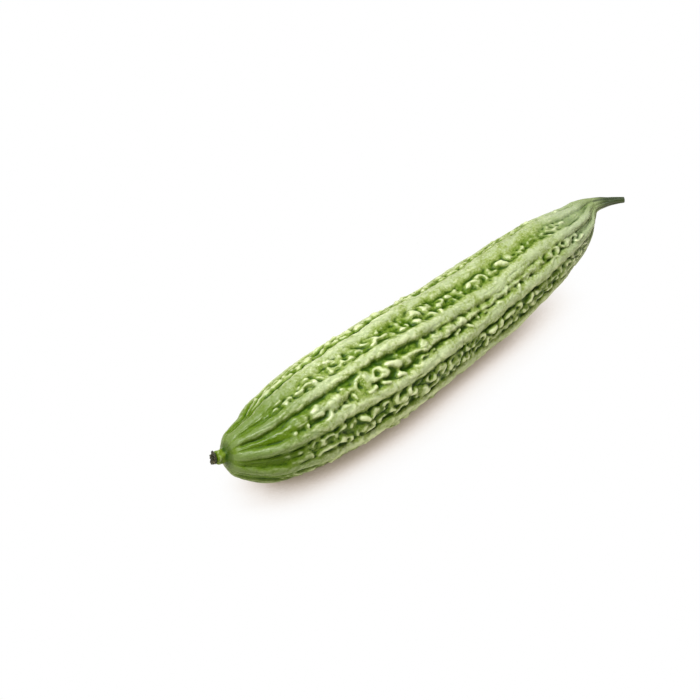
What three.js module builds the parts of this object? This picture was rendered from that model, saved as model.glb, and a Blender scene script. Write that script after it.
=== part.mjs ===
// A bitter gourd as picked: the long ribbed and warty fruit with its beak, the cut stalk it hung from,
// and the dried scrap of the flower at the tip. Millimetres, +Z up, lying on its two lowest ribs.
// The fruit runs along X from the blossom end (-X) to the stalk (+X). The origin is on the surface that it
// lies on, under the middle of its box.
import * as THREE from "three";

// Distances called "along" are counted along X from where the rounded blossom end is 16.5 mm in radius.
const midAlong = 125; // along the length, what lies over the origin
const midAcross = -0.6;

// Centre line of fruit and stalk: [along, y, height]. It sags where the fruit rests and lifts to the stalk.
const spine = [
  [-24, 6.8, 32.6],
  [-14, 3.7, 30.6],
  [-5, 1.5, 28.7],
  [4, 0.1, 27.0],
  [20, 0.1, 25.3],
  [45, 0.6, 24.3],
  [80, -0.7, 25.0],
  [110, -0.1, 24.1],
  [135, 0.9, 23.1],
  [160, 0.4, 24.5],
  [190, 0.0, 28.2],
  [214, -0.4, 31.7],
  [229, -1.0, 33.9],
  [241, -0.8, 36.3],
  [250, 0.2, 38.9],
  [257, -1.2, 41.4],
  [264, -6.3, 43.0],
  [272, -13.4, 43.8],
];

// Radius over the rib crests: [along, radius]. The first four stations are the beak.
const girth = [
  [-19.2, 2.5],
  [-18.6, 3.0],
  [-17.2, 3.3],
  [-15.4, 3.3],
  [-14.4, 4.2],
  [-13.5, 6.8],
  [-12, 9.4],
  [-8.5, 12.0],
  [-4, 14.5],
  [3, 17.8],
  [10, 20.3],
  [19, 22.5],
  [32, 24.5],
  [46, 26.0],
  [62, 26.7],
  [85, 27.0],
  [100, 26.5],
  [120, 25.4],
  [140, 24.4],
  [160, 23.7],
  [176, 22.8],
  [192, 21.6],
  [205, 20.3],
  [214, 19.1],
  [223, 17.3],
  [232, 15.1],
  [239, 13.1],
  [245, 10.9],
  [250, 8.8],
  [254, 6.6],
  [257, 4.7],
];
const stalkGirth = [
  [257, 4.7],
  [260, 3.7],
  [264, 2.6],
  [268, 1.95],
  [270.6, 1.65],
];
const fullGirth = 26; // the radius for which widths and depths of ribs and warts are given

// The eight ribs: angle of each crest from the top of the fruit, positive towards -Y, drift, the degrees
// that it gains on its way to the stalk, and halfWidths in the blossom half, in the stalk half and at the
// stalk end.
const ribs = [
  { angle: -11, drift: -1, halfWidths: [5.4, 8.2, 5.6] },
  { angle: 19, drift: 14, halfWidths: [3.9, 6.1, 4.4] },
  { angle: 62, drift: 3, halfWidths: [4.5, 5.0, 4.6] },
  { angle: 105, drift: 5, halfWidths: [4.6, 4.6, 4.4] },
  { angle: 154, drift: 4, halfWidths: [4.4, 4.4, 4.2] },
  { angle: 204, drift: -4, halfWidths: [4.8, 5.6, 4.4] },
  { angle: 249, drift: 2, halfWidths: [4.8, 4.8, 4.4] },
  { angle: 297, drift: 0, halfWidths: [5.2, 5.8, 4.6] },
];
const ribWander = 1.8; // degrees
const ribTwist = 9; // degrees gained where the ribs close in on the stalk
const furrowDepth = 4.4; // rib crest to the deepest crease between two ribs, at full girth
const furrowFloor = 0.4; // height between the warts, as a share of the ribs' height

// Warts stand in two staggered rows between each two ribs: the pitch from one wart to the next, the shares
// of the way to the next rib where the rows lie, the sizes of their warts, joins, the share that run on into
// the next wart of their row, broad, the share that are broad and stand alone, broadHalf, the half width of
// those, and rise, the warts' height. Over the stretch of a ridge the first row is one smooth fold. slide is
// added to the shares on the way to the stalk, and ends are the heights of the low ridges in which the rows
// run out, where they aren't the usual ones. Warts stay low in the fifth furrow, which faces down.
const furrows = [
  {
    pitch: 8.5,
    shares: [0.25, 0.6],
    slide: 0.28,
    sizes: [1, 0.85],
    joins: [0.3, 0.4],
    broad: [0.7, 0.6],
    broadHalf: 4.3,
    rise: 1,
    ends: [0, 0.5],
  },
  {
    pitch: 10,
    shares: [0.51, 0.8],
    slide: -0.06,
    sizes: [1.75, 0.5],
    joins: [0.5, 0.2],
    broad: [0.4, 0],
    broadHalf: 5,
    rise: 1.1,
    ridge: [72, 190],
  },
  {
    pitch: 7.5,
    shares: [0.38, 0.66],
    sizes: [0.95, 1],
    joins: [0.5, 0.4],
    broad: [0.7, 0.6],
    broadHalf: 3.9,
    rise: 1,
  },
  {
    pitch: 7,
    shares: [0.38, 0.63],
    sizes: [1, 1],
    joins: [0.45, 0.4],
    broad: [0.4, 0.5],
    broadHalf: 3.6,
    rise: 0.95,
  },
  {
    pitch: 7,
    shares: [0.36, 0.64],
    sizes: [1, 1],
    joins: [0.4, 0.4],
    broad: [0.3, 0.3],
    broadHalf: 3.5,
    rise: 0.5,
  },
  {
    pitch: 7,
    shares: [0.36, 0.62],
    sizes: [1.05, 1],
    joins: [0.5, 0.4],
    broad: [0.4, 0.4],
    broadHalf: 3.7,
    rise: 0.95,
  },
  {
    pitch: 9,
    shares: [0.4, 0.66],
    sizes: [1.2, 1.1],
    joins: [0.3, 0.5],
    broad: [0.5, 0.3],
    broadHalf: 4.4,
    rise: 1,
  },
  {
    pitch: 8,
    shares: [0.4, 0.62],
    sizes: [0.95, 0.9],
    joins: [0.4, 0.3],
    broad: [0.6, 0.4],
    broadHalf: 4,
    rise: 1,
  },
];
const bridges = 0.3; // share of the steps at which a low fold reaches across to the other row
const firstWart = 5;
const lastWart = 242;
const wartHalfWidth = 2.9;
const ridgeHalfWidth = 3.6;
const endRidgeHalfWidth = 2.5; // of the low ridges in which each row of warts runs out at both ends
const usualEnds = [0.6, 0.35];

const restDepth = 0.9; // whatever comes this near the surface it lies on is pressed flat
const gap = 0.3; // left between pieces that touch

const degrees = Math.PI / 180;
const clamp01 = (x) => Math.min(1, Math.max(0, x));
const mix = (a, b, t) => a + (b - a) * t;

function smoothStep(low, high, x) {
  const t = clamp01((x - low) / (high - low));
  return t * t * (3 - 2 * t);
}

// A smooth curve through stations [at, value], value read from the given column.
function through(stations, column, at) {
  const last = stations.length - 1;
  let k = 0;
  while (k < last - 1 && at > stations[k + 1][0]) k++;
  const slope = (i) =>
    (stations[i + 1][column] - stations[i][column]) / (stations[i + 1][0] - stations[i][0]);
  const here = slope(k);
  const startSlope = k > 0 ? (slope(k - 1) + here) / 2 : here;
  const endSlope = k < last - 1 ? (here + slope(k + 1)) / 2 : here;
  const span = stations[k + 1][0] - stations[k][0];
  const t = clamp01((at - stations[k][0]) / span);
  const rise = t * t * (3 - 2 * t);
  return (
    mix(stations[k][column], stations[k + 1][column], rise) +
    span * (startSlope * t * (1 - t) * (1 - t) - endSlope * t * t * (1 - t))
  );
}

// A repeatable draw from 0 to 1 for one furrow, row and step of the wart pattern.
function draw(furrow, row, step, salt) {
  const wave = Math.sin(furrow * 127.1 + row * 311.7 + step * 74.7 + salt * 53.3) * 43758.5453;
  return wave - Math.floor(wave);
}

// Point of the surface at a distance along, an angle from the top and a radius from the centre line.
function spinePoint(along) {
  const across = through(spine, 1, along) - midAcross;
  return new THREE.Vector3(along - midAlong, across, through(spine, 2, along));
}

function surfacePoint(along, angle, radius) {
  const tangent = spinePoint(along + 0.5).sub(spinePoint(along - 0.5)).normalize();
  const side = new THREE.Vector3().crossVectors(tangent, new THREE.Vector3(0, 0, 1)).normalize();
  const up = new THREE.Vector3().crossVectors(side, tangent);
  return spinePoint(along)
    .addScaledVector(up, radius * Math.cos(angle * degrees))
    .addScaledVector(side, radius * Math.sin(angle * degrees));
}

// Angle of a rib's crest, which wanders a little and turns towards the stalk.
function ribAngle(rib, along) {
  const turns = Math.floor(rib / ribs.length);
  const place = rib - turns * ribs.length;
  const wave = Math.sin(along / 23 + place * 1.9) + 0.6 * Math.sin(along / 9.5 + place * 3.1);
  const twist = ribTwist * smoothStep(195, 250, along) + ribs[place].drift * smoothStep(-10, 200, along);
  return ribs[place].angle + turns * 360 + ribWander * wave * smoothStep(0, 40, along) + twist;
}

function ribHalfWidth(rib, along) {
  const [blossomHalf, stalkHalf, stalkEnd] = ribs[rib % ribs.length].halfWidths;
  const middle = mix(blossomHalf, stalkHalf, smoothStep(60, 190, along));
  return mix(middle, stalkEnd, smoothStep(200, 226, along));
}

// Angle at a share of the way from one rib to the next.
function furrowAngle(furrow, share, along) {
  return mix(ribAngle(furrow, along), ribAngle(furrow + 1, along), share);
}

// Where a row of warts lies, as a share of the way to the next rib.
function rowShare(furrow, row, along) {
  const { shares, slide = 0 } = furrows[furrow];
  return shares[row] + slide * smoothStep(70, 130, along);
}

// The middle of a wart: [along, share of the way to the next rib].
function wartPlace(furrow, row, step) {
  const shift = (draw(furrow, row, step, 1) - 0.5) * 0.44 + 0.5 * row;
  const lean = (draw(furrow, row, step, 2) - 0.5) * 0.07;
  const along = firstWart + furrows[furrow].pitch * (step + shift);
  return [along, rowShare(furrow, row, along) + lean];
}

function wartHeight(furrow, row, step) {
  return furrows[furrow].rise * (0.7 + 0.3 * draw(furrow, row, step, 3));
}

// Warts and the folds that join them, each a rounded ridge from one place to another.
function foldsOf(furrow) {
  const { pitch, sizes, joins, broad, broadHalf, rise, ridge = [lastWart, lastWart] } = furrows[furrow];
  const folds = [];
  const steps = Math.floor((lastWart - firstWart) / pitch);
  const add = (from, to, halfWidth, height) => folds.push({ from, to, halfWidth, height });
  for (let step = 0; step < steps; step++) {
    for (const row of [0, 1]) {
      const here = wartPlace(furrow, row, step);
      const height = wartHeight(furrow, row, step);
      const onRidge = row === 0 && here[0] > ridge[0] && here[0] < ridge[1];
      const isBroad = draw(furrow, row, step, 10) < broad[row] && !onRidge;
      const plainHalfWidth = wartHalfWidth * sizes[row] * mix(0.82, 1.12, draw(furrow, row, step, 4));
      const broadHalfWidth = broadHalf * mix(0.8, 1.1, draw(furrow, row, step, 11)) * (row === 0 ? 1 : 0.75);
      const ownHalfWidth = isBroad ? broadHalfWidth : plainHalfWidth;
      const halfWidth = onRidge ? Math.min(ownHalfWidth, ridgeHalfWidth) : ownHalfWidth;
      const reach = pitch * mix(0.08, 0.28, draw(furrow, row, step, 5));
      add([here[0] - reach, here[1]], [here[0] + reach, here[1]], halfWidth, height);
      const runsOn = onRidge || (!isBroad && draw(furrow, row, step, 6) < joins[row]);
      if (runsOn && step < steps - 1) {
        const lower = Math.min(height, wartHeight(furrow, row, step + 1));
        add(here, wartPlace(furrow, row, step + 1), halfWidth * 0.85, 0.92 * lower);
      }
    }
    if (draw(furrow, 0, step, 7) < bridges)
      add(wartPlace(furrow, 0, step), wartPlace(furrow, 1, step), wartHalfWidth * 0.6, 0.66 * rise);
  }
  return folds;
}

const folds = furrows.map((_, furrow) => foldsOf(furrow));

// Round-topped cross-section of a rib or fold, 1 in the middle and 0 at its half width.
const dome = (offset, power) => Math.pow(Math.max(0, 1 - offset * offset), power);

// Height of the warts' folds at a point of a furrow that is width across, at a share of that width.
function wartRelief(furrow, share, along, width, scale) {
  let highest = 0;
  for (const fold of folds[furrow]) {
    if (Math.abs(along - fold.from[0]) > 3 * furrows[furrow].pitch) continue;
    const dx = fold.to[0] - fold.from[0];
    const dy = (fold.to[1] - fold.from[1]) * width;
    const px = along - fold.from[0];
    const py = (share - fold.from[1]) * width;
    const t = clamp01((px * dx + py * dy) / (dx * dx + dy * dy));
    const distance = Math.hypot(px - dx * t, py - dy * t);
    highest = Math.max(highest, fold.height * dome(distance / (fold.halfWidth * scale), 0.55));
  }
  return highest;
}

// Height from 0, the deepest crease, to 1, a rib's crest.
function relief(furrow, share, along) {
  const radius = through(girth, 1, along);
  const width = (furrowAngle(furrow, 1, along) - furrowAngle(furrow, 0, along)) * degrees * radius;
  const scale = radius / fullGirth;
  const halfWidth = ribHalfWidth(share < 0.5 ? furrow : furrow + 1, along) * Math.pow(scale, 0.7);
  const rib = dome((Math.min(share, 1 - share) * width) / halfWidth, 0.5);
  const wartFade = smoothStep(-8, 16, along) * (1 - smoothStep(238, 252, along));
  const warts = wartFade * wartRelief(furrow, share, along, width, scale);
  const floor = wartFade * furrowFloor * dome(2 * share - 1, 0.5);
  const endFade = (1 - 0.75 * wartFade) * mix(0.5, 1, smoothStep(60, 180, along));
  const { ends = usualEnds } = furrows[furrow];
  const endRidges = ends.map((height, row) => {
    const offset = (share - rowShare(furrow, row, along)) * width;
    return height * endFade * dome(offset / (endRidgeHalfWidth * Math.pow(scale, 0.6)), 0.7);
  });
  return Math.max(rib, warts, floor, ...endRidges);
}

function reliefDepth(along) {
  const scale = through(girth, 1, along) / fullGirth;
  const blossomEnd = mix(0.95, 1, smoothStep(-6, 30, along)) * smoothStep(-15, -9, along);
  const stalkEnd = mix(1, 1.3, smoothStep(200, 235, along));
  return furrowDepth * scale * blossomEnd * stalkEnd;
}

// Fruit: rings of vertices. Each ring has eight places from one rib to the next: the crest and the rib's
// flank, the two rows of warts with the crease between them, and the next rib's flank. In the warty part a
// vertex of a row is drawn to the middle of the wart that it is near, so every wart has a peak and a crease
// round it.
const ringPitch = 3;
const blossomRings = [-19.2, -18.6, -15.4, -14.4, -13.5, -12, -9, -5, 0.5];
const stalkRings = [242.5, 247, 250.5, 254, 257];

const rowPlaces = [3, 5]; // of the two rows of warts, among the eight

function ringShares(furrow, along) {
  const [first, second] = [0, 1].map((row) => rowShare(furrow, row, along));
  const past = (t) => mix(second, 1, t);
  return [0, first / 3, (2 * first) / 3, first, (first + second) / 2, second, past(0.36), past(0.7)];
}

function fruitVertex(furrow, share, place, along, ring) {
  let ownShare = share;
  let at = along;
  const row = rowPlaces.indexOf(place);
  if (row >= 0 && ring !== null) {
    const step = (ring * ringPitch) / furrows[furrow].pitch - 0.5 * row;
    const before = wartPlace(furrow, row, Math.floor(step));
    const after = wartPlace(furrow, row, Math.ceil(step));
    at = mix(before[0], after[0], step - Math.floor(step));
    ownShare = mix(before[1], after[1], step - Math.floor(step));
  }
  const height = relief(furrow, ownShare, at);
  const radius = through(girth, 1, at) - reliefDepth(at) * (1 - height);
  const point = surfacePoint(at, furrowAngle(furrow, ownShare, at), radius);
  if (point.z < restDepth) point.z = 0;
  return point;
}

// Two faces over the cell a, b, c, d, parted along the diagonal that stands out from the body.
function cellFaces(points, a, b, c, d) {
  const [toB, toC, toD] = [b, c, d].map((corner) => points[corner].clone().sub(points[a]));
  const bulges = toB.cross(toD).dot(toC) < 0;
  return bulges ? [a, b, d, b, c, d] : [a, b, c, a, c, d];
}

// Closed body from rings of points, with a flat or pointed end at each end of the stack.
function bodyOfRings(rings, firstPole, lastPole) {
  const sides = rings[0].length;
  const points = [...rings.flat(), firstPole, lastPole];
  const faces = [];
  for (let ring = 0; ring < rings.length - 1; ring++) {
    for (let side = 0; side < sides; side++) {
      const a = ring * sides + side;
      const b = ring * sides + ((side + 1) % sides);
      faces.push(...cellFaces(points, a, b, b + sides, a + sides));
    }
  }
  const lastRing = (rings.length - 1) * sides;
  for (let side = 0; side < sides; side++) {
    const next = (side + 1) % sides;
    faces.push(next, side, points.length - 2);
    faces.push(lastRing + side, lastRing + next, points.length - 1);
  }
  const geometry = new THREE.BufferGeometry().setFromPoints(points);
  geometry.setIndex(faces);
  geometry.computeVertexNormals();
  return geometry;
}

function makeFruit() {
  const stations = blossomRings.map((along) => [along, null]);
  const wartRings = Math.round((lastWart - firstWart) / ringPitch);
  for (let ring = 0; ring < wartRings; ring++) stations.push([firstWart + ring * ringPitch, ring]);
  stations.push(...stalkRings.map((along) => [along, null]));
  const rings = stations.map(([along, ring]) =>
    furrows.flatMap((_, furrow) =>
      ringShares(furrow, along).map((share, place) => fruitVertex(furrow, share, place, along, ring)),
    ),
  );
  return bodyOfRings(rings, spinePoint(blossomRings[0]), spinePoint(stalkRings.at(-1)));
}

// Stalk: the ribs run on along it as fine ridges, down to the cut end.
const stalkRidge = 0.13; // share of the radius
const stalkSides = 3; // vertices from one ridge to the next

function makeStalk() {
  const start = stalkGirth[0][0] + gap;
  const end = stalkGirth.at(-1)[0];
  const ringCount = 10;
  const rings = Array.from({ length: ringCount }, (_, ring) => {
    const along = mix(start, end, ring / (ringCount - 1));
    return ribs.flatMap((_, rib) =>
      Array.from({ length: stalkSides }, (_, place) => {
        const hollow = place === 0 ? 0 : stalkRidge;
        const radius = through(stalkGirth, 1, along) * (1 - hollow);
        return surfacePoint(along, furrowAngle(rib, place / stalkSides, along), radius);
      }),
    );
  });
  return bodyOfRings(rings, spinePoint(start), spinePoint(end));
}

// Dried flower: a shrunken cup of five ragged lobes with the stub of the style in it, on the end of the beak.
const scrapRings = [
  [0, 2.1, 0],
  [0.3, 3.0, 0.25],
  [0.8, 3.5, 0.5],
  [1.2, 3.2, 0.6],
  [0.6, 1.6, 0.3],
  [0.4, 0.9, 0],
  [1.1, 0.5, 0],
]; // [distance out from the beak, radius, depth of the nicks between lobes]
const lobes = 5;
const lobeSides = 4;

function makeFlowerScrap() {
  const foot = girth[0][0] - gap;
  const outward = spinePoint(foot - 1).sub(spinePoint(foot + 1)).normalize();
  const rings = scrapRings.map(([out, radius, nick]) =>
    Array.from({ length: lobes * lobeSides }, (_, side) => {
      const nicked = side % lobeSides === 0 ? 1 - nick : 1;
      const ragged = 1 + 0.16 * (draw(Math.floor(side / lobeSides), 0, 0, 9) - 0.5);
      const angle = (side * 360) / (lobes * lobeSides);
      const onBeak = surfacePoint(foot, angle, radius * nicked * ragged);
      return onBeak.addScaledVector(outward, out * (out > 1 ? ragged : 1));
    }),
  );
  // The rings run out from the beak, against the run of the fruit's, so each is turned round.
  const turned = rings.map((ring) => [...ring].reverse());
  const tip = spinePoint(foot).addScaledVector(outward, scrapRings.at(-1)[0] + 0.2);
  return bodyOfRings(turned, spinePoint(foot), tip);
}

function piece(name, geometry, color, roughness) {
  const material = new THREE.MeshStandardMaterial({ color, roughness, metalness: 0 });
  const mesh = new THREE.Mesh(geometry, material);
  mesh.name = name;
  return mesh;
}

const bitterGourd = new THREE.Group();
bitterGourd.add(
  piece("fruit", makeFruit(), 0x97b95a, 0.42),
  piece("stalk", makeStalk(), 0x5d7a3c, 0.6),
  piece("flower_scrap", makeFlowerScrap(), 0x3e3620, 0.9),
);

export default bitterGourd;
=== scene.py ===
import math
import bpy
import numpy as np
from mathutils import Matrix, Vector


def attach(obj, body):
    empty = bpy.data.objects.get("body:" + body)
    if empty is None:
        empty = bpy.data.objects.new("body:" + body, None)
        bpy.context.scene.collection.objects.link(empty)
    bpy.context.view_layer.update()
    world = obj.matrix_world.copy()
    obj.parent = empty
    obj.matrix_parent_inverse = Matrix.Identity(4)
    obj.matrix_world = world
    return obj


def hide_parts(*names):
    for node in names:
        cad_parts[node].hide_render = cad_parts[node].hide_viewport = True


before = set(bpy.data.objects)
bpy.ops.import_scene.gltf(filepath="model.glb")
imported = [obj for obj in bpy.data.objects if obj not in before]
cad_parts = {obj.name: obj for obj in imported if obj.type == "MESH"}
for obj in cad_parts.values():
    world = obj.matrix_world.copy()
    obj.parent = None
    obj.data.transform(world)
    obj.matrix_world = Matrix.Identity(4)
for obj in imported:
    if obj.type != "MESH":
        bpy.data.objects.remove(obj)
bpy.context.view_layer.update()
mm = 0.001

# The gourd's own build, in millimetres: the same stations and rules as the solids. Along is counted along X
# from the place where the rounded blossom end is 16.5 mm in radius.
gourd = dict(
    middleAlong=125,
    middleAcross=-0.6,
    # centre line: along, y, height
    spine=[
        (-24, 6.8, 32.6), (-14, 3.7, 30.6), (-5, 1.5, 28.7), (4, 0.1, 27.0), (20, 0.1, 25.3), (45, 0.6, 24.3),
        (80, -0.7, 25.0), (110, -0.1, 24.1), (135, 0.9, 23.1), (160, 0.4, 24.5), (190, 0.0, 28.2),
        (214, -0.4, 31.7), (229, -1.0, 33.9), (241, -0.8, 36.3), (250, 0.2, 38.9), (257, -1.2, 41.4),
        (264, -6.3, 43.0), (272, -13.4, 43.8),
    ],
    # radius over the rib crests: along, radius
    girth=[
        (-19.2, 2.5), (-18.6, 3.0), (-17.2, 3.3), (-15.4, 3.3), (-14.4, 4.2), (-13.5, 6.8), (-12, 9.4),
        (-8.5, 12.0), (-4, 14.5), (3, 17.8), (10, 20.3), (19, 22.5), (32, 24.5), (46, 26.0), (62, 26.7),
        (85, 27.0), (100, 26.5), (120, 25.4), (140, 24.4), (160, 23.7), (176, 22.8), (192, 21.6),
        (205, 20.3), (214, 19.1), (223, 17.3), (232, 15.1), (239, 13.1), (245, 10.9), (250, 8.8), (254, 6.6),
        (257, 4.7),
    ],
    # the radius that widths and depths are given for: elsewhere they shrink with the girth
    fullRadius=26,
    # angle of each rib's crest from the top, positive towards -Y, degrees that it gains on its way to the
    # stalk, and its half width in the blossom half, in the stalk half and at the stalk end
    ribs=[
        (-11, -1, (5.4, 8.2, 5.6)), (19, 14, (3.9, 6.1, 4.4)), (62, 3, (4.5, 5.0, 4.6)),
        (105, 5, (4.6, 4.6, 4.4)), (154, 4, (4.4, 4.4, 4.2)), (204, -4, (4.8, 5.6, 4.4)),
        (249, 2, (4.8, 4.8, 4.4)), (297, 0, (5.2, 5.8, 4.6)),
    ],
    ribWander=1.8,  # degrees that each crest strays to both sides
    ribTwist=9,  # degrees that all ribs turn as they close in on the stalk
    furrowDepth=4.4,
    restDepth=0.9,  # thickness that the gourd's weight presses flat
    # unevenness of the skin: size of the bumps round the fruit, how many times longer they are along it, and
    # how far they stand out
    swells=((22, 1, 0.25), (9, 2.6, 0.22), (3.4, 3.5, 0.08), (2.6, 1, 0.05)),
    # creases in the skin: size of the cells between them, how many times longer these are along the fruit,
    # depth and share of a cell that its crease takes
    creases=((8.5, 3.2, 0.42, 0.2), (4.4, 2.6, 0.26, 0.26)),
    warp=1.1,  # how far the warts are shifted out of their regular places
)

# The two rows of warts between each two ribs: the way from one wart to the next, where the rows lie between
# the ribs and how far they slide over towards the stalk, the girth of the warts, the share that run on into
# the next one, the share that are curled round a pit and the half width of those. rise is the warts' height.
# Over the stretch of a ridge the first row is one smooth fold. ends are the heights of the low ridges that
# the two rows turn into at the ends of the fruit.
furrows = [
    dict(pitch=8.5, shares=(0.25, 0.6), slide=0.28, sizes=(1.0, 0.85), joins=(0.3, 0.4), pits=(0.7, 0.6),
         pitted=4.3, rise=1.0, ends=(0.0, 0.5)),
    dict(pitch=10, shares=(0.51, 0.8), slide=-0.06, sizes=(1.75, 0.5), joins=(0.5, 0.2), pits=(0.4, 0.0),
         pitted=5.0, rise=1.1, ridge=(72, 190)),
    dict(pitch=7.5, shares=(0.38, 0.66), sizes=(0.95, 1.0), joins=(0.5, 0.4), pits=(0.7, 0.6),
         pitted=3.9, rise=1.0),
    dict(pitch=7, shares=(0.38, 0.63), sizes=(1.0, 1.0), joins=(0.45, 0.4), pits=(0.4, 0.5),
         pitted=3.6, rise=0.95),
    dict(pitch=7, shares=(0.36, 0.64), sizes=(1.0, 1.0), joins=(0.4, 0.4), pits=(0.3, 0.3),
         pitted=3.5, rise=0.5),
    dict(pitch=7, shares=(0.36, 0.62), sizes=(1.05, 1.0), joins=(0.5, 0.4), pits=(0.4, 0.4),
         pitted=3.7, rise=0.95),
    dict(pitch=9, shares=(0.40, 0.66), sizes=(1.2, 1.1), joins=(0.3, 0.5), pits=(0.5, 0.3),
         pitted=4.4, rise=1.0),
    dict(pitch=8, shares=(0.40, 0.62), sizes=(0.95, 0.9), joins=(0.4, 0.3), pits=(0.6, 0.4),
         pitted=4.0, rise=1.0),
]
wartRows = dict(
    first=5,
    last=242,
    furrowWidth=19.0,  # usual way from crest to crest, which the tilt of a wart is set by
    strayAlong=0.44,  # share of the pitch that warts stray by, lengthwise
    strayAcross=0.07,  # share of the furrow that they stray by, crosswise
    halfWidth=2.9,
    ridgeHalfWidth=3.6,
    tilt=2.4,
    pitDepth=0.85,
    # beads on the ribs' flanks: share of the warts that have one, how far aside it is, half width, height
    beads=0.45,
    beadAside=0.15,
    beadHalfWidth=1.6,
    beadRise=0.6,
    # folds from a wart of the one row to that of the other: share that have one, girth, height
    bridges=0.3,
    bridgeSize=0.6,
    bridgeRise=0.66,
    floor=0.4,  # height of the low swell that the warts stand on
    ends=(0.6, 0.35),
    endHalfWidth=2.5,
)


def colour(red, green, blue):
    # A colour picked as 0 to 255 on screen, turned to the linear values that a shader takes.
    screen = np.array((red, green, blue)) / 255
    return (*np.where(screen <= 0.04045, screen / 12.92, ((screen + 0.055) / 1.055) ** 2.4), 1.0)


def smoothStep(low, high, x):
    t = np.clip((x - low) / (high - low), 0, 1)
    return t * t * (3 - 2 * t)


def through(stations, at, column=1):
    # Smooth curve through the stations: a cubic on each stretch, whose slope at a station is the mean of the
    # straight slopes on its two sides.
    x, y = np.array([(s[0], s[column]) for s in stations], float).T
    slope = np.diff(y) / np.diff(x)
    bend = np.concatenate([slope[:1], (slope[1:] + slope[:-1]) / 2, slope[-1:]])
    k = np.clip(np.searchsorted(x, at) - 1, 0, len(x) - 2)
    span = x[k + 1] - x[k]
    t = np.clip((at - x[k]) / span, 0, 1)
    rise = t * t * (3 - 2 * t)
    between = y[k] + (y[k + 1] - y[k]) * rise
    return between + span * (bend[k] * t * (1 - t) ** 2 - bend[k + 1] * t * t * (1 - t))


def draw(furrow, row, step, salt):
    # A repeatable number from 0 to 1: the fraction left of a large sine.
    wave = math.sin(furrow * 127.1 + row * 311.7 + step * 74.7 + salt * 53.3) * 43758.5453
    return wave - math.floor(wave)


def spinePoint(along):
    across = through(gourd["spine"], along, 1) - gourd["middleAcross"]
    return np.stack([along - gourd["middleAlong"], across, through(gourd["spine"], along, 2)], axis=-1)


def unit(vectors):
    return vectors / np.linalg.norm(vectors, axis=-1, keepdims=True)


def surfacePoint(along, angle, radius):
    # The centre line's point, plus radius times (up by the cosine of the angle, towards -Y by its sine).
    tangent = unit(spinePoint(along + 0.5) - spinePoint(along - 0.5))
    side = unit(np.cross(tangent, (0, 0, 1)))
    up = np.cross(side, tangent)
    turn = np.radians(angle)[..., None]
    return spinePoint(along) + radius[..., None] * (up * np.cos(turn) + side * np.sin(turn))


def ribAngle(rib, along):
    # The crest's angle, plus a slow double sine wander, plus a turn where the ribs close in on the stalk.
    turns, place = divmod(rib, len(gourd["ribs"]))
    angle, drift, _ = gourd["ribs"][place]
    wave = np.sin(along / 23 + place * 1.9) + 0.6 * np.sin(along / 9.5 + place * 3.1)
    twist = gourd["ribTwist"] * smoothStep(195, 250, along) + drift * smoothStep(-10, 200, along)
    return angle + turns * 360 + gourd["ribWander"] * wave * smoothStep(0, 40, along) + twist


def ribHalfWidth(rib, along):
    # Eased from the blossom half's width to the stalk half's, and on to that of the stalk end.
    blossomHalf, stalkHalf, stalkEnd = gourd["ribs"][rib % len(gourd["ribs"])][2]
    middle = blossomHalf + (stalkHalf - blossomHalf) * smoothStep(60, 190, along)
    return middle + (stalkEnd - middle) * smoothStep(200, 226, along)


def rowShare(furrow, row, along):
    # Where a row of warts lies between its two ribs. Some rows slide over on their way to the stalk.
    return furrows[furrow]["shares"][row] + furrows[furrow].get("slide", 0) * smoothStep(70, 130, along)


def wartPlace(furrow, row, step):
    shift = (draw(furrow, row, step, 1) - 0.5) * wartRows["strayAlong"] + 0.5 * row
    lean = (draw(furrow, row, step, 2) - 0.5) * wartRows["strayAcross"]
    along = wartRows["first"] + furrows[furrow]["pitch"] * (step + shift)
    return along, rowShare(furrow, row, along) + lean


def wartHeight(furrow, row, step):
    return furrows[furrow]["rise"] * (0.7 + 0.3 * draw(furrow, row, step, 3))


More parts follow.
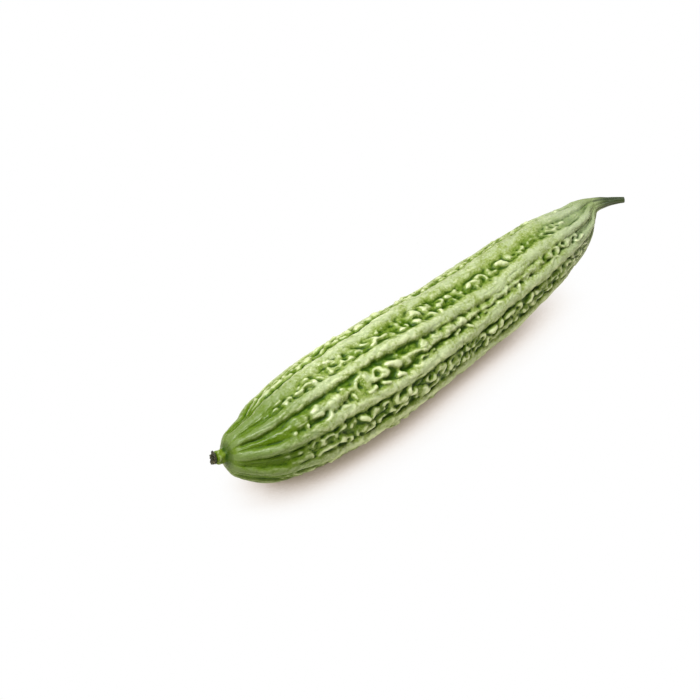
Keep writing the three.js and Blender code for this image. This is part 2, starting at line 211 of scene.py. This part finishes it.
def foldsOf(furrow):
    # Every wart and fold of one furrow as short round ridges: (along, share) at both ends, half width,
    # height, and the depth and direction of the pit that a curled one has to one side.
    kind = furrows[furrow]
    pitch = kind["pitch"]
    steps = int((wartRows["last"] - wartRows["first"]) / pitch)
    folds = []
    for step in range(steps):
        for row in (0, 1):
            place, share = wartPlace(furrow, row, step)
            height = wartHeight(furrow, row, step)
            thick = wartRows["halfWidth"] * kind["sizes"][row] * (0.82 + 0.3 * draw(furrow, row, step, 4))
            ridge = row == 0 and np.prod(np.subtract(kind.get("ridge", (999, 999)), place)) < 0
            thick = min(thick, wartRows["ridgeHalfWidth"]) if ridge else thick
            reach = pitch * (0.08 + 0.2 * draw(furrow, row, step, 5))
            tilt = (draw(furrow, row, step, 14) - 0.5) * wartRows["tilt"] / wartRows["furrowWidth"]
            ends = place - reach, share - tilt, place + reach, share + tilt
            if draw(furrow, row, step, 10) < kind["pits"][row] and not ridge:
                half = kind["pitted"] * (0.8 + 0.3 * draw(furrow, row, step, 11)) * (0.75 if row else 1)
                way = 2 * math.pi * draw(furrow, row, step, 12)
                folds.append((*ends, half, height, wartRows["pitDepth"], way))
            else:
                folds.append((*ends, thick, height, 0, 0))
                if (ridge or draw(furrow, row, step, 6) < kind["joins"][row]) and step < steps - 1:
                    following = 0.92 * min(height, wartHeight(furrow, row, step + 1))
                    onward = wartPlace(furrow, row, step + 1)
                    folds.append((place, share, *onward, thick * 0.85, following, 0, 0))
            if draw(furrow, row, step, 15) < wartRows["beads"]:
                aside = wartRows["beadAside"] if row else -wartRows["beadAside"]
                flank = share + aside + 0.05 * (draw(furrow, row, step, 16) - 0.5)
                at = place + pitch * (draw(furrow, row, step, 17) - 0.5)
                size = wartRows["beadHalfWidth"], wartRows["beadRise"] * kind["rise"]
                folds.append((at - 0.8, flank, at + 0.8, flank, *size, 0, 0))
        if draw(furrow, 0, step, 7) < wartRows["bridges"]:
            size = wartRows["halfWidth"] * wartRows["bridgeSize"], wartRows["bridgeRise"] * kind["rise"]
            folds.append((*wartPlace(furrow, 0, step), *wartPlace(furrow, 1, step), *size, 0, 0))
    return folds


def dome(offset, power):
    # Round-topped cross-section: 1 in the middle, 0 at offset 1.
    return np.clip(1 - offset * offset, 0, 1) ** power


def furrowRelief(furrow, share, along, angle):
    # Height from 0, a furrow's floor, to 1, a rib's crest, which a few warts pass: the highest of the two
    # ribs' domes and the warts'.
    # The place of each point is first shifted a little by slow waves, so no wart is quite regular.
    radius = through(gourd["girth"], along)[:, None]
    width = np.radians(ribAngle(furrow + 1, along) - ribAngle(furrow, along))[:, None] * radius
    scale = radius / gourd["fullRadius"]
    across = share[None, :] * width
    seed = furrow * 2.3
    place = np.broadcast_to(along[:, None], angle.shape)
    x = place + gourd["warp"] * unevenness(place, angle, 10.3, 1)
    y = across + 0.8 * gourd["warp"] * scale * unevenness(place, angle, 7.7, 1)
    nearRib = np.where(share < 0.5, share, 1 - share)[None, :] * width
    ribHalves = ribHalfWidth(furrow, along)[:, None], ribHalfWidth(furrow + 1, along)[:, None]
    ribHalf = np.where(share[None, :] < 0.5, *ribHalves)
    side = np.where(share < 0.5, 0.0, 1.9)[None, :] + seed
    # the feet of the ribs wave in and out
    scallop = 1 + 0.08 * np.sin(along[:, None] * 0.31 + side)
    scallop = scallop + 0.06 * np.sin(along[:, None] * 0.83 + side * 2)
    highest = dome(nearRib / (ribHalf * scale**0.7 * scallop), 0.5)
    fade = smoothStep(-8, 16, along) * (1 - smoothStep(238, 252, along))
    warts = np.zeros_like(highest)
    for fromAlong, fromShare, toAlong, toShare, halfWidth, height, pit, way in foldsOf(furrow):
        reach = 2 + halfWidth
        limits = min(fromAlong, toAlong) - reach, max(fromAlong, toAlong) + reach
        rows = slice(*np.searchsorted(along, limits))
        wide = width[rows]
        dx, dy = toAlong - fromAlong, (toShare - fromShare) * wide
        px, py = x[rows] - fromAlong, y[rows] - fromShare * wide
        t = np.clip((px * dx + py * dy) / (dx * dx + dy * dy), 0, 1)
        distance = np.hypot(px - dx * t, py - dy * t)
        half = halfWidth * scale[rows]
        aside = px - dx / 2 - 0.3 * half * math.cos(way), py - dy / 2 - 0.3 * half * math.sin(way)
        pitted = 1 - pit * np.exp(-(aside[0] ** 2 / 1.5 + aside[1] ** 2) / (0.38 * half) ** 2)
        bump = height * dome(distance / half, 0.55) * pitted
        warts[rows] = np.maximum(warts[rows], bump)
    # Where the warts die away towards both ends, each row goes on as a low lengthwise ridge.
    floor = wartRows["floor"] * dome(share[None, :] * 2 - 1, 0.5) * fade[:, None]
    fine = 1 + 0.16 * np.sin(x * 0.9 + seed) + 0.1 * np.sin(x * 0.37 + across)
    endHalf = wartRows["endHalfWidth"] * scale**0.6 * fine
    ridges = [top * dome((y - rowShare(furrow, row, along)[:, None] * width) / endHalf, 0.7)
              for row, top in enumerate(furrows[furrow].get("ends", wartRows["ends"]))]
    low = (1 - 0.75 * fade) * (0.5 + 0.5 * smoothStep(60, 180, along))
    rows = np.maximum(*ridges) * low[:, None]
    return np.maximum.reduce([highest, floor, rows, warts * fade[:, None]])


def reliefDepth(along):
    # In proportion to the girth, none on the beak, and a little deeper where the ribs close in on the stalk.
    scale = through(gourd["girth"], along) / gourd["fullRadius"]
    blossomEnd = (0.95 + 0.05 * smoothStep(-6, 30, along)) * smoothStep(-15, -9, along)
    stalkEnd = 1 + 0.3 * smoothStep(200, 235, along)
    return gourd["furrowDepth"] * scale * blossomEnd * stalkEnd


def unevenness(along, angle, size, stretch):
    # Bumps about size mm across and stretch times as long, from -1 to 1 or so: waves that run every way over
    # the skin, added up. Each wave fits a whole number of times round the fruit, taken at its mean radius.
    turn = np.radians(angle)
    waves, meanRadius = 22, 25
    total = np.zeros_like(along)
    for k in range(waves):
        way = 2 * math.pi * draw(k, 0, 0, size + 20)
        tight = 2 * math.pi / (size * (0.75 + 0.6 * draw(k, 1, 0, size + 20)))
        timesRound = round(tight * math.sin(way) * meanRadius)
        lengthwise = tight * math.cos(way) / stretch
        total += np.sin(lengthwise * along + timesRound * turn + 2 * math.pi * draw(k, 2, 0, size + 20))
    return total / math.sqrt(waves)


def blurred(grid, passes):
    # Each pass averages a value with its neighbours, 1-2-1, along the fruit and round it.
    for _ in range(passes):
        padded = np.pad(grid, ((1, 1), (0, 0)), mode="edge")
        grid = (padded[:-2] + 2 * padded[1:-1] + padded[2:]) / 4
        grid = (np.roll(grid, 1, 1) + 2 * grid + np.roll(grid, -1, 1)) / 4
    return grid


def pressedFlat(z):
    # What comes near the surface is eased onto it, with no edge where the flat spot begins.
    reach = 1.7 * gourd["restDepth"]
    u = np.clip((z + 0.6) / (reach + 0.6), 0, 1)
    slope = (reach + 0.6) / reach
    return np.where(z < reach, reach * ((3 - slope) * u**2 - (2 - slope) * u**3), z)


def tubeMesh(name, points, tips, values):
    # A closed body from rings of points, each end drawn together in one tip. Its values are for the shading.
    rows, sides = points.shape[:2]
    ring = np.arange(rows - 1)[:, None] * sides
    side = np.arange(sides)[None, :]
    after = (side + 1) % sides
    corners = ring + side, ring + after, ring + sides + after, ring + sides + side
    quads = np.stack(corners, axis=-1).reshape(-1, 4)
    first, last = rows * sides, rows * sides + 1
    side, after = side[0], after[0]
    startFan = np.stack([after, side, np.full(sides, first)], axis=-1)
    lastRing = (rows - 1) * sides
    endFan = np.stack([side, after, np.full(sides, last)], axis=-1) + [lastRing, lastRing, 0]
    vertices = np.concatenate([points.reshape(-1, 3), tips]) * mm
    mesh = bpy.data.meshes.new(name)
    mesh.from_pydata(vertices, [], quads.tolist() + startFan.tolist() + endFan.tolist())
    for label, grid in values.items():
        flat = np.concatenate([grid.ravel(), [grid[0].mean(), grid[-1].mean()]])
        mesh.attributes.new(label, "FLOAT", "POINT").data.foreach_set("value", flat.astype(np.float32))
    mesh.shade_smooth()
    mesh.update()
    piece = bpy.data.objects.new(name, mesh)
    bpy.context.scene.collection.objects.link(piece)
    return piece


# rows along the fruit, columns from each rib to the next, how far the last rows reach into the stalk
fruitGrid = dict(rows=396, columns=31, tuckedIn=(0.5, 0.9))


def makeFruit():
    # Rows lie an equal way apart over the curve of the fruit's side. Each point stands off the centre line by
    # the girth less what the relief takes away, plus swells and less creases, both fading towards the beak.
    ends = gourd["girth"][0][0], gourd["girth"][-1][0]
    fine = np.linspace(*ends, 4000)
    way = np.concatenate([[0], np.cumsum(np.hypot(np.diff(fine), np.diff(through(gourd["girth"], fine))))])
    along = np.interp(np.linspace(0, way[-1], fruitGrid["rows"]), way, fine)
    along = np.append(along, ends[1] + np.array(fruitGrid["tuckedIn"]))
    share = np.arange(fruitGrid["columns"]) / fruitGrid["columns"]
    relief, angles = [], []
    for furrow in range(len(furrows)):
        start, stop = ribAngle(furrow, along)[:, None], ribAngle(furrow + 1, along)[:, None]
        angles.append(start + (stop - start) * share[None, :])
        relief.append(furrowRelief(furrow, share, along, angles[-1]))
    relief, angle = np.concatenate(relief, axis=1), np.concatenate(angles, axis=1)
    place = np.broadcast_to(along[:, None], relief.shape)
    relief = blurred(relief, 1)
    girth = through(gourd["girth"], along)[:, None]
    swell = sum(depth * unevenness(place, angle, size, stretch) for size, stretch, depth in gourd["swells"])
    sunken = reliefDepth(along)[:, None] * (1 - relief)
    creased = sum(depth * np.exp(-(unevenness(place, angle, size, stretch) / crack) ** 2)
                  for size, stretch, depth, crack in gourd["creases"])
    calmed = smoothStep(-16, -8, along) * (0.8 + 0.2 * smoothStep(-6, 36, along))
    radius = girth - sunken + (swell - creased) * (girth / gourd["fullRadius"]) * calmed[:, None]
    # The beak is lumpy, and past its end the neck is drawn in a little to lie inside the stalk.
    lumpy = smoothStep(-13.5, -15.5, along)[:, None]
    lumps = 0.06 * np.sin(np.radians(angle) * 5 + place * 1.3) + 0.03 * np.sin(place * 3.1 + 1)
    radius *= 1 + lumpy * lumps
    radius *= 1 - 0.2 * np.clip(place - ends[1], 0, 1)
    # how far each point lies below its smoothed surroundings: the skin paints shade into the creases and a
    # highlight onto the tops from it
    crease = blurred(radius, 7) - radius
    points = surfacePoint(place, angle, radius)
    points[..., 2] = pressedFlat(points[..., 2])
    tips = spinePoint(np.array(ends))
    # The grooves' darkness, partly their own deeper green and partly painted shade, goes by the relief more
    # than by its depth, so they stay dark towards both ends.
    shown = 0.45 + 0.55 * reliefDepth(along)[:, None] / gourd["furrowDepth"]
    values = dict(height=1 - shown * (1 - relief), crease=crease, along=place)
    return tubeMesh("gourd_fruit", points, tips, values)


stalk = dict(
    girth=[(257, 4.7), (260, 3.7), (264, 2.6), (268, 1.95), (270.6, 1.65)],
    ridges=(0.22, 0.12),  # depth of its hollows at the neck and further on, share of the radius
    sleeve=0.8,  # how far it reaches back over the neck
    rows=90,
    columns=14,
)


def makeStalk():
    # The fruit's eight ribs run on as fine ridges. The cut end is a flat disc with a rounded rim and a pith.
    start, end = stalk["girth"][0][0], stalk["girth"][-1][0]
    along = np.concatenate([np.linspace(start - stalk["sleeve"], end, stalk["rows"]), np.full(6, end)])
    shrink = np.concatenate([np.ones(stalk["rows"] - 1), (0.97, 0.9, 0.72, 0.5, 0.42, 0.3, 0.12)])
    inward = np.concatenate([np.zeros(stalk["rows"]), (-0.08, -0.1, -0.08, -0.02, 0.2, 0.25)])
    share = np.arange(stalk["columns"]) / stalk["columns"]
    girth = through(stalk["girth"], along) - 0.3 * np.clip(start - along, 0, 1)
    hollow, angles = [], []
    for rib in range(len(gourd["ribs"])):
        first, after = ribAngle(rib, along), ribAngle(rib + 1, along)
        angles.append(first[:, None] + (after - first)[:, None] * share[None, :])
        hollow.append(1 - furrowRelief(rib, share, along, angles[-1]))
    hollow, angle = np.concatenate(hollow, axis=1), np.concatenate(angles, axis=1)
    place = np.broadcast_to(along[:, None], angle.shape)
    twist = np.sin(np.radians(angle) * 5 + place * 0.6) * 0.04 * smoothStep(258, 262, place)
    neckRidge, ridge = stalk["ridges"]
    ridge = neckRidge + (ridge - neckRidge) * smoothStep(257, 264, place)
    radius = girth[:, None] * (1 - ridge * hollow) * (1 + twist) * shrink[:, None]
    points = surfacePoint(place, angle, radius)
    outward = unit(spinePoint(np.array([end])) - spinePoint(np.array([end - 1])))
    points -= outward * inward[:, None, None]
    cut = np.broadcast_to((1 - shrink)[:, None], angle.shape)
    tips = np.concatenate([spinePoint(np.array([start])), points[-1].mean(axis=0, keepdims=True)])
    values = dict(height=1 - hollow, cut=cut, along=place)
    return tubeMesh("gourd_stalk", points, tips, values)


flowerScrap = dict(
    # out from the beak, radius, depth of the nicks between lobes
    rings=[(0, 2.1, 0), (0.3, 3.0, 0.25), (0.8, 3.5, 0.5), (1.2, 3.2, 0.6), (0.6, 1.6, 0.3), (0.4, 0.9, 0),
           (1.1, 0.5, 0)],
    lobes=5,
    rows=60,
    columns=144,
    crumple=0.12,
    gap=0.15,  # from the end of the beak
)


def makeFlowerScrap():
    # A shrunken cup: its profile is carried round the beak's axis, nicked between the lobes and crumpled by
    # sines.
    foot = gourd["girth"][0][0] - flowerScrap["gap"]
    stations = np.array(flowerScrap["rings"])
    u = np.linspace(0, len(stations) - 1, flowerScrap["rows"])
    knots = np.arange(len(stations))
    out, radius, nick = (through(np.stack([knots, stations[:, k]], axis=1), u) for k in range(3))
    turn = -np.arange(flowerScrap["columns"]) * 2 * math.pi / flowerScrap["columns"]
    lobe = np.abs(np.sin(turn * flowerScrap["lobes"] / 2)) ** 1.3
    ragged = 1 + 0.12 * np.sin(turn * 2 + 1) + 0.07 * np.sin(turn * 5 + 2) + 0.04 * np.sin(turn * 13)
    wrinkle = np.sin(turn[None, :] * 17 + u[:, None] * 2.5) * np.sin(u[:, None] * 3.1 + turn[None, :] * 3)
    nicked = 1 - nick[:, None] * (1 - lobe)[None, :]
    spread = nicked * ragged[None, :] * (1 + flowerScrap["crumple"] * wrinkle)
    spread = 1 + (spread - 1) * np.clip(out, 0, 1)[:, None]
    reach = out[:, None] * (1 + (ragged - 1)[None, :] * 1.4)
    angle = np.broadcast_to(np.degrees(turn)[None, :], reach.shape)
    points = surfacePoint(np.full(reach.shape, foot), angle, radius[:, None] * spread)
    outward = unit(spinePoint(np.array([foot - 1])) - spinePoint(np.array([foot + 1])))
    points += outward * reach[..., None]
    tips = np.concatenate([spinePoint(np.array([foot])), points[-1].mean(axis=0, keepdims=True)])
    return tubeMesh("gourd_flower_scrap", points, tips, {})


def addNode(tree, kind, inputs=None, **settings):
    node = tree.nodes.new(kind)
    for name, value in settings.items():
        setattr(node, name, value)
    for socket, value in (inputs or {}).items():
        if isinstance(value, bpy.types.NodeSocket):
            tree.links.new(value, node.inputs[socket])
        else:
            node.inputs[socket].default_value = value
    return node


def math2(tree, operation, first, second, clamp=False):
    node = addNode(tree, "ShaderNodeMath", {0: first, 1: second}, operation=operation, use_clamp=clamp)
    return node.outputs[0]


def mixColour(tree, amount, first, second):
    return addNode(tree, "ShaderNodeMix", {0: amount, 6: first, 7: second}, data_type="RGBA").outputs[2]


def valueOf(tree, name):
    return addNode(tree, "ShaderNodeAttribute", attribute_name=name).outputs["Fac"]


def spanOf(tree, value, low, high, toLow=0.0, toHigh=1.0):
    inputs = {"Value": value, "From Min": low, "From Max": high, "To Min": toLow, "To Max": toHigh}
    return addNode(tree, "ShaderNodeMapRange", inputs, interpolation_type="SMOOTHSTEP").outputs["Result"]


def ramp(tree, value, stops):
    node = addNode(tree, "ShaderNodeValToRGB", {0: value})
    marks = node.color_ramp.elements
    while len(marks) < len(stops):
        marks.new(0.5)
    for mark, (place, chip) in zip(marks, stops):
        mark.position, mark.color = place, colour(*chip)
    return node.outputs["Color"]


def makeLivingSkin():
    # Shared by fruit and stalk: pale pores, slow blotches of tone, and a fine grain for mottling and bump.
    group = bpy.data.node_groups.new("livingSkin", "ShaderNodeTree")
    for name, usual in (("Pore scale", 1100.0), ("Blotch scale", 90.0), ("Grain scale", 700.0)):
        socket = group.interface.new_socket(name, in_out="INPUT", socket_type="NodeSocketFloat")
        socket.default_value = usual
    for name in ("Pores", "Blotches", "Grain"):
        group.interface.new_socket(name, in_out="OUTPUT", socket_type="NodeSocketFloat")
    start = group.nodes.new("NodeGroupInput")
    finish = group.nodes.new("NodeGroupOutput")
    place = addNode(group, "ShaderNodeTexCoord").outputs["Object"]
    cells = addNode(group, "ShaderNodeTexVoronoi", {"Vector": place, "Scale": start.outputs["Pore scale"]})
    scatter = addNode(group, "ShaderNodeTexNoise", {"Vector": place, "Scale": 420.0, "Detail": 2.0})
    pores = spanOf(group, cells.outputs["Distance"], 0.34, 0.12)
    some = spanOf(group, scatter.outputs["Fac"], 0.45, 0.6)
    slow = {"Vector": place, "Scale": start.outputs["Blotch scale"], "Detail": 5.0, "Roughness": 0.68}
    blotches = addNode(group, "ShaderNodeTexNoise", slow)
    fine = {"Vector": place, "Scale": start.outputs["Grain scale"], "Detail": 3.0, "Roughness": 0.6}
    grain = addNode(group, "ShaderNodeTexNoise", fine)
    group.links.new(math2(group, "MULTIPLY", pores, some), finish.inputs["Pores"])
    group.links.new(blotches.outputs["Fac"], finish.inputs["Blotches"])
    group.links.new(grain.outputs["Fac"], finish.inputs["Grain"])
    return group


def newMaterial(name, **sockets):
    material = bpy.data.materials.new(name)
    material.use_nodes = True
    tree = material.node_tree
    shader = tree.nodes["Principled BSDF"]
    for socket, value in sockets.items():
        shader.inputs[socket.replace("_", " ")].default_value = value
    return material, tree, shader


fruitColours = dict(
    # tone from furrow floor to crest: the dark low end is partly the skin's own deeper green and partly
    # painted shade
    skin=[(0.0, (32, 58, 0)), (0.27, (52, 76, 4)), (0.54, (82, 101, 32)), (0.76, (107, 120, 62)),
          (1.0, (133, 143, 106))],
    # crease: painted shade laid into the creases
    crease=(22, 48, 0),
    # a painted highlight on the convex tops of warts and ribs
    crestHighlight=(186, 192, 154),
    blossom=(58, 80, 0),
    beak=(76, 94, 16),
    beakShade=(30, 50, 2),
    junction=(30, 48, 0),
    neck=(130, 140, 112),
    neckEnd=(108, 120, 80),
    pore=(186, 194, 152),
)
# where each tint or finish sets in and is full, and how much there is of it before and after
fruitSpans = dict(
    pore=(0.45, 0.9, 0.1, 0.6),
    blossom=(50, 0, 0.0, 0.78),
    beakMottle=(0.4, 0.58),
    beak=(-14.2, -16.4),
    junctionStart=(-13.2, -14.2),
    junctionEnd=(-16.6, -14.8),
    raised=(0.2, 0.65, 0.1, 1.0),
    neck=(200, 236, 0.0, 0.68),
    neckEnd=(240, 257),
    # crease: painted shade in the creases
    crease=(0.06, 0.5, 0.0, 0.85),
    # the painted highlight on the convex tops, and how it fades towards the blossom end
    crestHighlight=(-0.06, -0.5, 0.0, 0.5),
    crestHighlightAlong=(-16, 30, 0.4, 1.0),
    rough=(0.3, 0.7, 0.34, 0.5),
    gloss=(0.05, -0.35, 0.0, 0.4),
)


def makeFruitSkin(livingSkin):
    material, tree, shader = newMaterial(
        "fruitSkin", Subsurface_Weight=0.05, Subsurface_Radius=(0.9, 1.2, 0.3), Subsurface_Scale=0.001,
        Specular_IOR_Level=0.08, Coat_Roughness=0.26)
    skin = addNode(tree, "ShaderNodeGroup", node_tree=livingSkin)
    height, along, crease = (valueOf(tree, name) for name in ("height", "along", "crease"))
    blotches, grain = skin.outputs["Blotches"], skin.outputs["Grain"]

    def span(value, name):
        return spanOf(tree, value, *fruitSpans[name])

    def times(first, second):
        return math2(tree, "MULTIPLY", first, second)

    # Tone goes by the relief, lifted and lowered by slow blotches and a fine grain: the deeper green in the
    # furrows is partly the skin's own colour and partly painted shade.
    lift = times(math2(tree, "SUBTRACT", blotches, 0.5), 1.2)
    mottle = times(math2(tree, "SUBTRACT", grain, 0.5), 0.9)
    tone = math2(tree, "ADD", math2(tree, "ADD", height, lift), mottle, clamp=True)
    base = ramp(tree, tone, fruitColours["skin"])
    tints = {name: colour(*chip) for name, chip in fruitColours.items() if name != "skin"}
    tints["beak"] = mixColour(tree, span(blotches, "beakMottle"), tints["beakShade"], tints["beak"])
    junction = times(times(span(along, "junctionStart"), span(along, "junctionEnd")), 0.6)
    raised = span(height, "raised")
    for amount, name in (
        (times(skin.outputs["Pores"], span(height, "pore")), "pore"),
        (span(along, "blossom"), "blossom"),
        (span(along, "beak"), "beak"),
        (junction, "junction"),
        (times(raised, span(along, "neck")), "neck"),
        (times(raised, span(along, "neckEnd")), "neckEnd"),
        # painted shade in the creases
        (span(crease, "crease"), "crease"),
        # painted highlight on the convex tops
        (times(span(crease, "crestHighlight"), span(along, "crestHighlightAlong")), "crestHighlight"),
    ):
        base = mixColour(tree, amount, base, tints[name])
    tree.links.new(base, shader.inputs["Base Color"])
    tree.links.new(span(blotches, "rough"), shader.inputs["Roughness"])
    tree.links.new(span(crease, "gloss"), shader.inputs["Coat Weight"])
    bump = addNode(tree, "ShaderNodeBump", {"Height": grain, "Strength": 0.55, "Distance": 0.0008})
    tree.links.new(bump.outputs["Normal"], shader.inputs["Normal"])
    return material


stalkColours = dict(
    start=(108, 120, 80),
    ridge=(33, 48, 2),
    hollow=(12, 25, 0),
    cut=(128, 132, 84),
    pith=(58, 62, 34),
)


def makeStalkSkin(livingSkin):
    material, tree, shader = newMaterial("stalkSkin", Roughness=0.5)
    skin = addNode(tree, "ShaderNodeGroup", {"Blotch scale": 260.0}, node_tree=livingSkin)
    height, cut = valueOf(tree, "height"), valueOf(tree, "cut")
    blotched = math2(tree, "MULTIPLY", skin.outputs["Blotches"], 0.4)
    tone = math2(tree, "ADD", math2(tree, "MULTIPLY", height, 0.6), blotched)
    base = mixColour(tree, tone, colour(*stalkColours["hollow"]), colour(*stalkColours["ridge"]))
    nearNeck = spanOf(tree, valueOf(tree, "along"), 263.5, 256)
    paler = math2(tree, "MULTIPLY", nearNeck, spanOf(tree, height, 0.2, 0.8, 0.35, 1.0))
    base = mixColour(tree, paler, base, colour(*stalkColours["start"]))
    base = mixColour(tree, spanOf(tree, cut, 0.06, 0.14), base, colour(*stalkColours["cut"]))
    base = mixColour(tree, spanOf(tree, cut, 0.45, 0.75), base, colour(*stalkColours["pith"]))
    tree.links.new(base, shader.inputs["Base Color"])
    grain = skin.outputs["Grain"]
    bump = addNode(tree, "ShaderNodeBump", {"Height": grain, "Strength": 0.4, "Distance": 0.0004})
    tree.links.new(bump.outputs["Normal"], shader.inputs["Normal"])
    return material


def makeDriedFlower():
    material, tree, shader = newMaterial("driedFlower", Roughness=0.85)
    place = addNode(tree, "ShaderNodeTexCoord").outputs["Object"]
    noise = addNode(tree, "ShaderNodeTexNoise", {"Vector": place, "Scale": 900.0, "Detail": 4.0})
    fleck = noise.outputs["Fac"]
    stops = [(0.3, (14, 16, 4)), (0.55, (38, 36, 10)), (0.75, (82, 72, 34))]
    tree.links.new(ramp(tree, fleck, stops), shader.inputs["Base Color"])
    bump = addNode(tree, "ShaderNodeBump", {"Height": fleck, "Strength": 0.6, "Distance": 0.0005})
    tree.links.new(bump.outputs["Normal"], shader.inputs["Normal"])
    return material


studio = dict(
    floorTone=0.8,
    # what the camera alone sees of the floor: white, with the narrow soft shadow of the photograph where the
    # gourd closes off that share of the sky
    shadowReach=0.045,
    shadow=[(0.2, (122, 112, 92)), (0.3, (180, 167, 152)), (0.37, (213, 203, 194)), (0.46, (238, 231, 225)),
            (0.56, (250, 247, 244)), (0.68, (255, 255, 255))],
    floorSize=6.0,
    world=0.16,
    bounceTint=(255, 252, 226),
    keyWatts=31.5,
    keySize=0.8,
    keyPlace=(-0.3, 0.0, 1.0),
    # the photograph's view: from the blossom end's side, looking down
    azimuth=-46.5,
    elevation=38.0,
    distance=0.75,
    aim=(-0.0392, 0.0213, 0.0257),
    lens=77.14,
    sensor=36.0,
)


def aimed(thing, target):
    thing.rotation_mode = "QUATERNION"
    thing.rotation_quaternion = (Vector(target) - thing.location).to_track_quat("-Z", "Y")


def addLamp(name, place, watts, size):
    lamp = bpy.data.lights.new(name, "AREA")
    lamp.energy, lamp.size, lamp.shape = watts, size, "DISK"
    holder = bpy.data.objects.new(name, lamp)
    holder.location = place
    aimed(holder, (0, 0, 0))
    bpy.context.scene.collection.objects.link(holder)


def makeStudio():
    scene = bpy.context.scene
    half = studio["floorSize"] / 2
    mesh = bpy.data.meshes.new("floor")
    corners = [(-half, -half, 0), (half, -half, 0), (half, half, 0), (-half, half, 0)]
    mesh.from_pydata(corners, [], [(0, 1, 2, 3)])
    floor = bpy.data.objects.new("floor", mesh)
    scene.collection.objects.link(floor)
    material, tree, shader = newMaterial("paleFloor", Roughness=0.9, Specular_IOR_Level=0.0)
    seen = addNode(tree, "ShaderNodeLightPath").outputs["Is Camera Ray"]
    tint = np.array(colour(*studio["bounceTint"]))
    skyShare = addNode(tree, "ShaderNodeAmbientOcclusion", {"Distance": studio["shadowReach"]}).outputs["AO"]
    base = mixColour(tree, seen, tint * studio["floorTone"], (0, 0, 0, 1))
    tree.links.new(base, shader.inputs["Base Color"])
    tree.links.new(ramp(tree, skyShare, studio["shadow"]), shader.inputs["Emission Color"])
    tree.links.new(seen, shader.inputs["Emission Strength"])
    mesh.materials.append(material)

    world = bpy.data.worlds.new("softRoom")
    world.use_nodes = True
    world.node_tree.nodes["Background"].inputs["Color"].default_value = tint
    world.node_tree.nodes["Background"].inputs["Strength"].default_value = studio["world"]
    scene.world = world
    addLamp("key", studio["keyPlace"], studio["keyWatts"], studio["keySize"])

    camera = bpy.data.objects.new("camera", bpy.data.cameras.new("camera"))
    around, above = math.radians(studio["azimuth"]), math.radians(studio["elevation"])
    back = Vector((math.sin(around) * math.cos(above), -math.cos(around) * math.cos(above), math.sin(above)))
    camera.location = Vector(studio["aim"]) + back * studio["distance"]
    camera.data.sensor_width, camera.data.lens = studio["sensor"], studio["lens"]
    aimed(camera, studio["aim"])
    scene.collection.objects.link(camera)
    scene.camera = camera
    scene.view_settings.view_transform = "Standard"
    print("studio ready")


makeStudio()
livingSkin = makeLivingSkin()
for make, node, slot, material in (
    (makeFruit, "fruit", "fruit_skin", makeFruitSkin(livingSkin)),
    (makeStalk, "stalk", "stalk_skin", makeStalkSkin(livingSkin)),
    (makeFlowerScrap, "flower_scrap", "dried_flower", makeDriedFlower()),
):
    piece = make()
    piece.data.materials.append(material)
    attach(piece, "root")
    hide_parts(node)
    print(node, "made with", len(piece.data.polygons), "faces")
